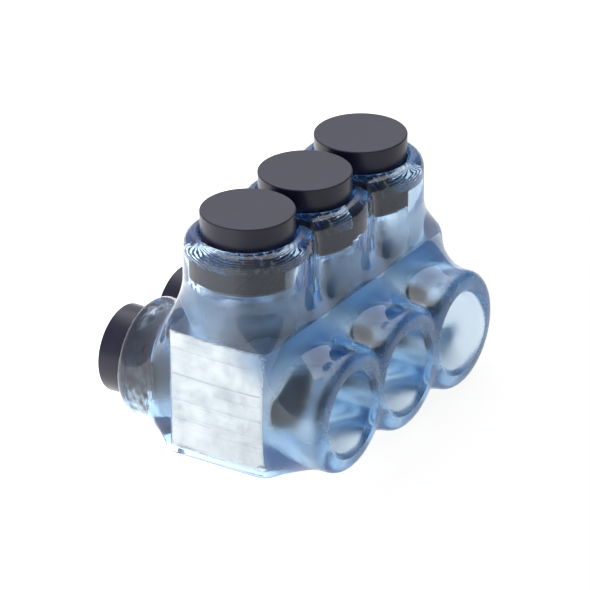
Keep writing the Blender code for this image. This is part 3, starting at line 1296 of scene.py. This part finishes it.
    def crease_limit(self, places: Floats) -> Floats:
        """Angle over which an edge of the jacket is sharp: small on the rings of the cup bores.

        Args:
            places: Middles of the edges.

        Returns:
            The angle at each edge, in degrees.
        """
        x, y, z = places.T
        on_rings, elsewhere = self.limits
        limit = np.full(len(places), elsewhere)
        beside, below = 0.5 * MM, 1.0 * MM
        for cap, plug in zip(self.row.caps, self.row.plugs):
            in_tower = np.hypot(x - cap.middle.x, y) < cap.size.x / 2.0 + beside
            limit[in_tower & (z > cap.low.z - below)] = on_rings
            around = np.hypot(x - plug.middle.x, z - plug.middle.z)
            in_sleeve = around < plug.size.x / 2.0 + beside
            limit[in_sleeve & (y > plug.low.y - below)] = on_rings
        return limit

    def build(self) -> bpy.types.Object:
        """Make the jacket.

        Returns:
            One closed piece, with its material and its body.
        """
        row = self.row
        jacket = MouldForm(row).surface().piece("vinyl_jacket")
        cutters = [self.bar_cavity().piece("bar_cavity")]
        above, beside = row.bar.high.z + self.lap, row.bar.high.y + self.lap
        ports = zip(row.caps, row.plugs, self.patches)
        for number, (cap, plug, patches) in enumerate(ports, start=1):
            bores = {"tower_bore": self.tower_bore(cap, patches, above),
                     "rear_bore": self.rear_bore(plug, beside),
                     "front_bore": self.open_bore(cap.middle.x, beside)}
            cutters += [bore.piece(f"{name}_{number}") for name, bore in bores.items()]
        for number, bubble in enumerate(self.bubbles(), start=1):
            cutters.append(bubble.surface().piece(f"bubble_{number}"))
        cut(jacket, cutters)
        crease(jacket, self.crease_limit)
        mark_points(jacket, "mattness", self.mattness(read(jacket.data.vertices, "co", 3)))
        dress(jacket, ClearVinyl().material())
        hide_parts("insulating_jacket")
        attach(jacket, "connector")
        return jacket


# Bar and set screws


@dataclass(frozen=True)
class SawMark:
    """A line that the saw left across the bar's ends.

    Attributes:
        height: Its height above the bar's underside.
        start: Share of the bar's depth where it starts, from the front.
        end: Share where it ends.
        depth: Its depth.
    """

    height: float
    start: float
    end: float
    depth: float


@dataclass(frozen=True)
class ConductorBar:
    """The drilled aluminium bar.

    Attributes:
        row: The ports.
        edge: Rounding of its edges.
        bore: Radius of a wire bore.
        hole: Radius of a screw hole.
        corner_shade: Share of the painted shade at the near top corner, and where its fade starts
            and ends.
        drawn: Finish of its long faces.
        sawn: Finish of its ends.
        drilled: Finish of its bores and holes, darkened as painted shade.
        marks: Lines left by the saw.
    """

    row: PortRow
    edge: float = 0.35 * MM
    bore: float = 8.0 * MM
    hole: float = 8.2 * MM
    corner_shade: Triple = (0.9, 2 * MM, 11 * MM)
    drawn: MillAluminium = MillAluminium(Grain.DRAWN)
    sawn: MillAluminium = MillAluminium(Grain.SAWN, (1.00, 0.92, 0.84), (0.74, 0.72, 0.70))
    # The bores' dark aluminium is painted shade: bare metal darkened as if in its own shadow.
    drilled: MillAluminium = MillAluminium(Grain.DRILLED, (0.20, 0.24, 0.24), (0.09, 0.12, 0.12))
    marks: tuple[SawMark, ...] = (
        SawMark(29.1 * MM, 0.35, 0.95, 0.008 * MM),
        SawMark(26.4 * MM, 0.15, 1.00, 0.014 * MM),
        SawMark(19.6 * MM, 0.00, 1.00, 0.020 * MM),
        SawMark(16.6 * MM, 0.00, 0.55, 0.010 * MM),
        SawMark(12.7 * MM, 0.00, 1.00, 0.014 * MM),
        SawMark(11.9 * MM, 0.30, 0.90, 0.008 * MM),
        SawMark(8.4 * MM, 0.10, 0.85, 0.010 * MM),
        SawMark(7.6 * MM, 0.55, 1.00, 0.014 * MM),
        SawMark(5.7 * MM, 0.00, 0.60, 0.010 * MM),
    )

    def body(self) -> tuple[Surface, Floats]:
        """The bar before drilling.

        A gridded box is pulled onto its rounded form: each point keeps the rounding's radius from
        the box that is smaller by that radius. On the ends each saw mark is a shallow V that
        wavers a little, and the saw has torn small bites out of the top edge.

        Returns:
            The surface, and for each point how deep in a mark it is, from 0 to 1.
        """
        bar = self.row.bar
        low, high = np.array(bar.low), np.array(bar.high)
        across, bite = 0.07 * MM, 0.3 * MM
        extra = [low[2] + mark.height + shift
                 for mark in self.marks for shift in (-across, 0.0, across)]
        box = gridded_box((grid_lines(low[0], high[0], 3.0 * MM, self.edge),
                           grid_lines(low[1], high[1], 0.4 * MM, self.edge),
                           grid_lines(low[2], high[2], 1.5 * MM, self.edge, extra)))
        inner = np.clip(box.points, low + self.edge, high - self.edge)
        away = box.points - inner
        length = np.linalg.norm(away, axis=1, keepdims=True)
        points = inner + away / length * self.edge
        depth_share = (points[:, 1] - low[1]) / (high[1] - low[1])
        groove = np.zeros(len(points))
        for mark in self.marks:
            hit = np.abs(box.points[:, 2] - low[2] - mark.height) < 0.5 * across
            fade = soft_step(depth_share, mark.start - 0.02, mark.start + 0.04)
            fade = fade * (1.0 - soft_step(depth_share, mark.end - 0.04, mark.end + 0.02))
            groove = np.maximum(groove, np.where(hit, fade * mark.depth, 0.0))
        ends = np.abs(points[:, 0]) > high[0] - 1e-5
        groove = np.where(ends, groove, 0.0)
        lean = 0.12 * MM * ripple(points[:, 1], 0.0 * points[:, 1], 14 * MM, 3)
        flat = ends & (points[:, 2] > low[2] + 2 * MM) & (points[:, 2] < high[2] - 1.5 * MM)
        points[:, 2] += np.where(flat, lean, 0.0)
        points[:, 0] -= np.sign(points[:, 0]) * groove
        torn = 0.7 * MM * np.clip(ripple(points[:, 1], points[:, 0], 0.9 * MM, 17), 0.0, 1.0)
        top_edge = (points[:, 2] > high[2] - bite) & (np.abs(points[:, 0]) > high[0] - bite)
        points[:, 2] -= np.where(top_edge, torn, 0.0)
        return Surface(points, box.faces), groove / max(mark.depth for mark in self.marks)

    def wire_bore(self, port: float) -> Surface:
        """A bore through the bar: straight, with faint tool rings and a lead-in at both ends.

        Args:
            port: Place of the bore on X.

        Returns:
            The bore, past the bar's faces.
        """
        face, lead, overrun, rings = self.row.bar.high.y, 0.7 * MM, 4.0 * MM, 61
        middle = np.linspace(face - lead, lead - face, rings)
        along = np.concatenate([[face + overrun, face], middle, [-face, -face - overrun]])
        wall = np.full(len(along), self.bore)
        wall[[0, 1, -2, -1]] += lead
        wall[2:-2] += 0.015 * MM * np.cos(np.arange(rings) * np.pi)
        radius, height = profile_rows(zip(wall, along), 80)
        return turned(radius, height, (port, 0.0, self.row.bore_z), Way.REAR)

    def screw_hole(self, port: float) -> Surface:
        """A threaded hole from the top down to the wire bore.

        Its radius is the hole's plus a triangle wave of the height less the pitch times the turn.

        Args:
            port: Place of the hole on X.

        Returns:
            The hole, past the bar's top.
        """
        pitch, depth = 1.4 * MM, 0.45 * MM
        top = self.row.bar.high.z
        height = np.linspace(top + 2 * MM, self.row.bore_z, 84)[:, None]
        turn = np.linspace(0.0, 1.0, 80, endpoint=False)[None, :]
        wave = 2.0 * np.abs(np.mod(height / pitch - turn, 1.0) - 0.5)
        fade = 1.0 - soft_step(height, top - 0.6 * MM, top)
        radius = self.hole + depth * wave * fade
        return turned(radius, height, (port, 0.0, 0.0), Way.UP)

    def build(self) -> bpy.types.Object:
        """Make the bar.

        Returns:
            One closed piece, sawn at its ends, drawn elsewhere, with its bores darkened as painted
            shade.
        """
        surface, groove = self.body()
        bar = surface.piece("aluminium_bar")
        corner = np.array([self.row.bar.low.x, self.row.bar.low.y, self.row.bar.high.z])
        away = np.linalg.norm(surface.points - corner, axis=1)
        mark_points(bar, "saw_mark", groove)
        # Painted shade: a blue-grey darkening that fades out from the bar's near top corner.
        corner_shade, near, far = self.corner_shade
        mark_points(bar, "painted_corner_shade", corner_shade * (1.0 - soft_step(away, near, far)))
        cutters = []
        for number, port in enumerate(self.row.ports, start=1):
            cutters.append(self.wire_bore(port).piece(f"wire_bore_{number}"))
            cutters.append(self.screw_hole(port).piece(f"screw_hole_{number}"))
        cut(bar, cutters)
        crease(bar, 30.0)
        middle, skin = np.array(self.row.bar.middle), 0.3 * MM
        place = read(bar.data.polygons, "center", 3)
        inset = np.array(self.row.bar.size) / 2.0 - np.abs(place - middle)
        sawn = inset[:, 0] < skin
        # Faces deeper than the skin, in the bores and holes, take the darkened finish, a painted
        # shade.
        drilled = inset.min(axis=1) > skin
        dress(bar, self.drawn.material(), self.sawn.material(), self.drilled.material(),
              numbers=np.where(drilled, 2, np.where(sawn, 1, 0)))
        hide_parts("conductor_block")
        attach(bar, "connector")
        return bar


@dataclass(frozen=True)
class SetScrew:
    """A set screw with a rolled thread, a hexagon socket and a cupped tip.

    Attributes:
        number: Its port.
        size: Its box.
        pitch: Pitch of its thread.
        thread: Depth of its thread.
        flats: Width of its socket across the flats.
        socket: Depth of its socket.
        steps: Number of steps round it, a multiple of six.
    """

    number: int
    size: Extent
    pitch: float = 1.4 * MM
    thread: float = 0.75 * MM
    flats: float = 7.9 * MM
    socket: float = 6.0 * MM
    steps: int = 96

    def surface(self) -> Surface:
        """Work out the screw as one grid, from the socket's floor over the thread to the tip.

        In the socket the radius is half the width across the flats over the cosine of the angle to
        the nearest flat. On the thread it is the outer radius less the depth times a rounded
        triangle wave of the height less the pitch times the turn, which fades out at both ends.

        Returns:
            The screw's surface.
        """
        top, bottom = self.size.high.z, self.size.low.z
        outer = self.size.size.x / 2.0
        turn = np.linspace(0.0, 1.0, self.steps, endpoint=False)[None, :]
        to_flat = np.mod(turn * 360.0, 60.0) - 30.0
        hexagon = self.flats / 2.0 / np.cos(np.radians(to_flat))
        floor = top - self.socket
        mouth = top - 0.35 * MM
        rows = [(0.3 * hexagon, floor - 1.3 * MM), (0.65 * hexagon, floor - 0.65 * MM),
                (hexagon, floor), (hexagon, floor + 0.02 * MM),
                (hexagon, mouth - 0.02 * MM), (hexagon, mouth)]
        flare = np.maximum(hexagon, self.flats / 2.0 / math.cos(math.radians(24.0)))
        rows.append((flare, top))
        for share in (0.3, 0.6, 0.9):
            rows.append((flare + (outer - 1.1 * MM - flare) * share, top))
        for inset, drop in ((1.0 * MM, 0.0), (0.75 * MM, 0.06 * MM)):
            rows.append((np.full_like(turn, outer - inset), top - drop))
        radius = np.concatenate([row[0] for row in rows])
        height = np.concatenate([np.full_like(turn, row[1]) for row in rows])
        along = np.linspace(top - 0.5 * MM, bottom + 0.5 * MM, 92)[:, None]
        wave = 2.0 * np.abs(np.mod(along / self.pitch - turn, 1.0) - 0.5)
        wave = soft_step(wave, 0.12, 0.88)
        bevel = soft_step(np.minimum(top - along, along - bottom), -0.4 * MM, 1.1 * MM)
        shank = outer - self.thread * (1.0 - wave) - 0.6 * MM * (1.0 - bevel)
        tip = [(outer - 1.9 * MM, bottom), (outer - 2.3 * MM, bottom),
               (outer - 2.8 * MM, bottom + 0.35 * MM), (2.0 * MM, bottom + 1.7 * MM),
               (0.7 * MM, bottom + 2.0 * MM)]
        tip_radius, tip_height = profile_rows(tip, self.steps)
        radius = np.concatenate([radius, shank, tip_radius])
        height = np.concatenate([height, along + 0.0 * turn, tip_height])
        return turned(radius, height, (self.size.middle.x, 0.0, 0.0), Way.UP)

    def build(self) -> bpy.types.Object:
        """Make the screw.

        Returns:
            One closed piece, with its material and its body.
        """
        screw = self.surface().piece(f"threaded_screw_{self.number}")
        crease(screw, 35.0)
        dress(screw, TurnedAluminium().material())
        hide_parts(f"set_screw_{self.number}")
        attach(screw, f"screw_{self.number}")
        return screw


# Push-in cups


class CupKind(Enum):
    """Where a push-in cup goes, with its piece's name, its solid, its body and its way out."""

    TOWER_CAP = ("tower_cap", "screw_cap", "cap", Way.UP)
    SLEEVE_PLUG = ("sleeve_plug", "port_plug", "plug", Way.REAR)

    @property
    def way(self) -> Way:
        """Direction of the cup's closed end."""
        return self.value[3]


@dataclass(frozen=True)
class PushCup:
    """A hollow push-in cup with a flat closed end and a slight taper.

    Attributes:
        kind: Where it goes.
        number: Its port.
        size: Its box.
        taper: Fall of its radius over its length.
        wall: Thickness of its side.
        floor: Thickness of its closed end.
        steps: Number of steps round it.
    """

    kind: CupKind
    number: int
    size: Extent
    taper: float = 0.4 * MM
    wall: float = 2.1 * MM
    floor: float = 2.6 * MM
    steps: int = 128

    def surface(self) -> Surface:
        """Turn the cup's rounded profile.

        Returns:
            The cup's surface: its closed end, its side, its inside and its floor.
        """
        axis = 2 if self.kind.way is Way.UP else 1
        outer = self.size.size.x / 2.0
        length = self.size.size[axis]
        nose = outer - self.taper
        inside = outer - self.wall - self.taper / 2.0
        corners = [
            (outer * 0.25, -0.05 * MM, 0.0),
            (outer * 0.50, -0.05 * MM, 0.0),
            (outer * 0.75, -0.04 * MM, 0.0),
            (outer - 0.75 * MM, 0.0, 0.2 * MM),
            (outer - 0.22 * MM, 0.0, 0.1 * MM),
            (outer, -0.22 * MM, 0.1 * MM),
            (outer - self.taper * 0.4, -length * 0.4, 0.0),
            (outer - self.taper * (1.0 - 0.9 * MM / length), -length + 0.9 * MM, 0.4 * MM),
            (nose - 0.5 * MM, -length, 0.25 * MM),
            (nose - self.wall, -length, 0.25 * MM),
            (inside, -self.floor - 0.6 * MM, 0.3 * MM),
            (inside - 0.6 * MM, -self.floor, 0.3 * MM),
            (inside * 0.4, -self.floor, 0.0),
        ]
        radius, height = profile_rows(rounded_profile(corners), self.steps)
        face = self.size.high[axis]
        centre = list(self.size.middle)
        centre[axis] = face
        return turned(radius, height, centre, self.kind.way)

    def build(self) -> bpy.types.Object:
        """Make the cup.

        Returns:
            One closed piece, with its material and its body.
        """
        name, node, body, _ = self.kind.value
        cup = self.surface().piece(f"{name}_{self.number}")
        crease(cup, 50.0)
        dress(cup, SatinPlastic().material())
        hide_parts(f"{node}_{self.number}")
        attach(cup, f"{body}_{self.number}")
        return cup


# Studio


@dataclass(frozen=True)
class SoftBox:
    """A rectangular studio light.

    Attributes:
        name: Its name.
        centre: Its middle.
        aim: Point that it faces.
        sides: Its width and height.
        radiance: Brightness of its face.
        turn: Turn about its own axis, in degrees.
    """

    name: str
    centre: Triple
    aim: Triple
    sides: Pair
    radiance: float
    turn: float = 0.0

    def build(self) -> None:
        """Make the light, whose power is its radiance times pi times its area."""
        lamp = bpy.data.lights.new(self.name, "AREA")
        lamp.shape = "RECTANGLE"
        lamp.size, lamp.size_y = self.sides
        lamp.energy = self.radiance * math.pi * self.sides[0] * self.sides[1]
        facing = (Vector(self.aim) - Vector(self.centre)).to_track_quat("-Z", "Y")
        spin = Matrix.Rotation(math.radians(self.turn), 4, "Z")
        turn = facing.to_matrix().to_4x4() @ spin
        placed(self.name, lamp).matrix_world = Matrix.Translation(self.centre) @ turn


@dataclass(frozen=True)
class PaleStudio:
    """A pale floor under a pale sky, with a bright soft box overhead and a dim one behind.

    Attributes:
        sky: Lowest and highest brightness of the surroundings.
        sky_colour: Their colour.
        bright_side: Direction in which they are brightest.
        floor_size: Half the side of the floor.
        floor_colour: Colour of the floor.
        floor_glow: Lowest and highest brightness of the light that comes up through the floor.
        glow_side: Direction on the floor in which that light rises.
        glow_rise: Where along it the rise starts and ends.
        boxes: Its soft boxes.
    """

    sky: Pair = (0.14, 1.02)
    sky_colour: Triple = (0.92, 0.93, 1.08)
    bright_side: Triple = (-0.40, 0.89, -0.22)
    floor_size: float = 3.0
    floor_colour: Triple = (0.10, 0.10, 0.10)
    floor_glow: Pair = (0.90, 1.85)
    glow_side: Pair = (-0.35, 0.94)
    glow_rise: Pair = (-0.03, 0.06)
    boxes: tuple[SoftBox, ...] = (
        SoftBox("overhead_soft_box", centre=(0.50, 0.23, 1.03), aim=(0.50, 0.23, 0.0),
                sides=(1.48, 1.08), radiance=2.4, turn=30.0),
        SoftBox("back_soft_box", centre=(1.10, 0.72, 0.66), aim=(0.0, 0.0, 0.05),
                sides=(1.3, 0.7), radiance=0.45),
    )

    def surroundings(self) -> None:
        """Light the world by the direction looked in: brightest along one, dimmest against it."""
        world = bpy.data.worlds.new("pale_surroundings")
        bpy.context.scene.world = world
        world.use_nodes = True
        tree = world.node_tree
        place = tree.nodes.new("ShaderNodeTexCoord")
        along = tree.nodes.new("ShaderNodeVectorMath")
        along.operation = "DOT_PRODUCT"
        along.inputs[1].default_value = self.bright_side
        ramp = tree.nodes.new("ShaderNodeMapRange")
        tree.links.new(place.outputs["Generated"], along.inputs[0])
        tree.links.new(along.outputs["Value"], ramp.inputs["Value"])
        for name, number in zip(RANGE_SOCKETS, (-1.0, 1.0, *self.sky)):
            ramp.inputs[name].default_value = number
        tree.nodes["Background"].inputs["Color"].default_value = (*self.sky_colour, 1.0)
        tree.links.new(ramp.outputs["Result"], tree.nodes["Background"].inputs["Strength"])

    def floor(self) -> None:
        """Make the table under the connector: pale, matt and lit from inside.

        Its glow rises by a smooth step across its middle.
        """
        line = np.concatenate([[-self.floor_size], np.linspace(-0.5, 0.5, 51), [self.floor_size]])
        x, y = (values.ravel() for values in np.meshgrid(line, line, indexing="ij"))
        quads = grid_cells(np.arange(x.size).reshape(line.size, line.size))
        made = Surface(np.stack([x, y, 0.0 * x], axis=1), (quads,)).piece("studio_floor")
        lowest, highest = self.floor_glow
        share = soft_step(self.glow_side[0] * x + self.glow_side[1] * y, *self.glow_rise)
        mark_points(made, "glow", lowest + (highest - lowest) * share)
        sheet = ShaderSheet("pale_floor")
        sheet.fixed(Base_Color=(*self.floor_colour, 1.0), Roughness=0.9, Specular_IOR_Level=0.1,
                    Emission_Color=(1.0, 1.0, 1.0, 1.0))
        sheet.drive("Emission Strength", sheet.attribute("glow"))
        dress(made, sheet.material)

    def build(self) -> None:
        """Make the surroundings, the floor and the soft boxes."""
        self.surroundings()
        self.floor()
        for box in self.boxes:
            box.build()


@dataclass(frozen=True)
class PortraitCamera:
    """The camera, at the photograph's viewing angle.

    Attributes:
        target: Point at the middle of the image.
        azimuth: Turn of the view about Z, in degrees, where 0 looks along +Y.
        elevation: Height of the camera over the target, in degrees.
        roll: Turn about the line of sight, in degrees.
        distance: Distance to the target.
        lens: Focal length in millimetres for a 36 mm sensor.
    """

    target: Triple = (-0.00335, 0.00102, 0.03006)
    azimuth: float = -57.09
    elevation: float = 26.73
    roll: float = -0.51
    distance: float = 1.2291
    lens: float = 306.7

    def build(self) -> None:
        """Make the scene's camera, and let it look at the target."""
        around, above, tilt = map(math.radians, (self.azimuth, self.elevation, self.roll))
        flat = math.cos(above)
        back = Vector((math.sin(around) * flat, -math.cos(around) * flat, math.sin(above)))
        level = Vector((math.cos(around), math.sin(around), 0.0))
        upright = back.cross(level)
        right = math.cos(tilt) * level + math.sin(tilt) * upright
        up = math.cos(tilt) * upright - math.sin(tilt) * level
        lens = bpy.data.cameras.new("portrait_camera")
        lens.lens = self.lens
        lens.sensor_width = 36.0
        lens.clip_start = 0.05
        lens.clip_end = 20.0
        made = placed("portrait_camera", lens)
        turn = Matrix((right, up, back)).transposed().to_4x4()
        made.matrix_world = Matrix.Translation(Vector(self.target) + back * self.distance) @ turn
        bpy.context.scene.camera = made


def settle_renderer() -> None:
    """Let light pass the many clear walls, and keep white white."""
    scene = bpy.context.scene
    scene.cycles.max_bounces = 32
    scene.cycles.transmission_bounces = 24
    scene.cycles.glossy_bounces = 16
    scene.cycles.diffuse_bounces = 4
    scene.view_settings.view_transform = "Standard"


def report(piece: bpy.types.Object) -> None:
    """Log a finished piece's name and its number of triangles."""
    triangles = sum(len(face.vertices) - 2 for face in piece.data.polygons)
    LOG.info("%s: %d triangles", piece.name, triangles)


def main() -> None:
    """Build the studio and every piece of the connector, in order, and report each."""
    row = PortRow.from_solids()
    PortraitCamera().build()
    PaleStudio().build()
    settle_renderer()
    report(MouldedJacket(row).build())
    report(ConductorBar(row).build())
    for number, size in enumerate(row.screws, start=1):
        report(SetScrew(number, size).build())
    for kind, sizes in ((CupKind.TOWER_CAP, row.caps), (CupKind.SLEEVE_PLUG, row.plugs)):
        for number, size in enumerate(sizes, start=1):
            report(PushCup(kind, number, size).build())


if __name__ == "__main__":
    logging.basicConfig(level=logging.INFO, format="%(message)s")
    main()
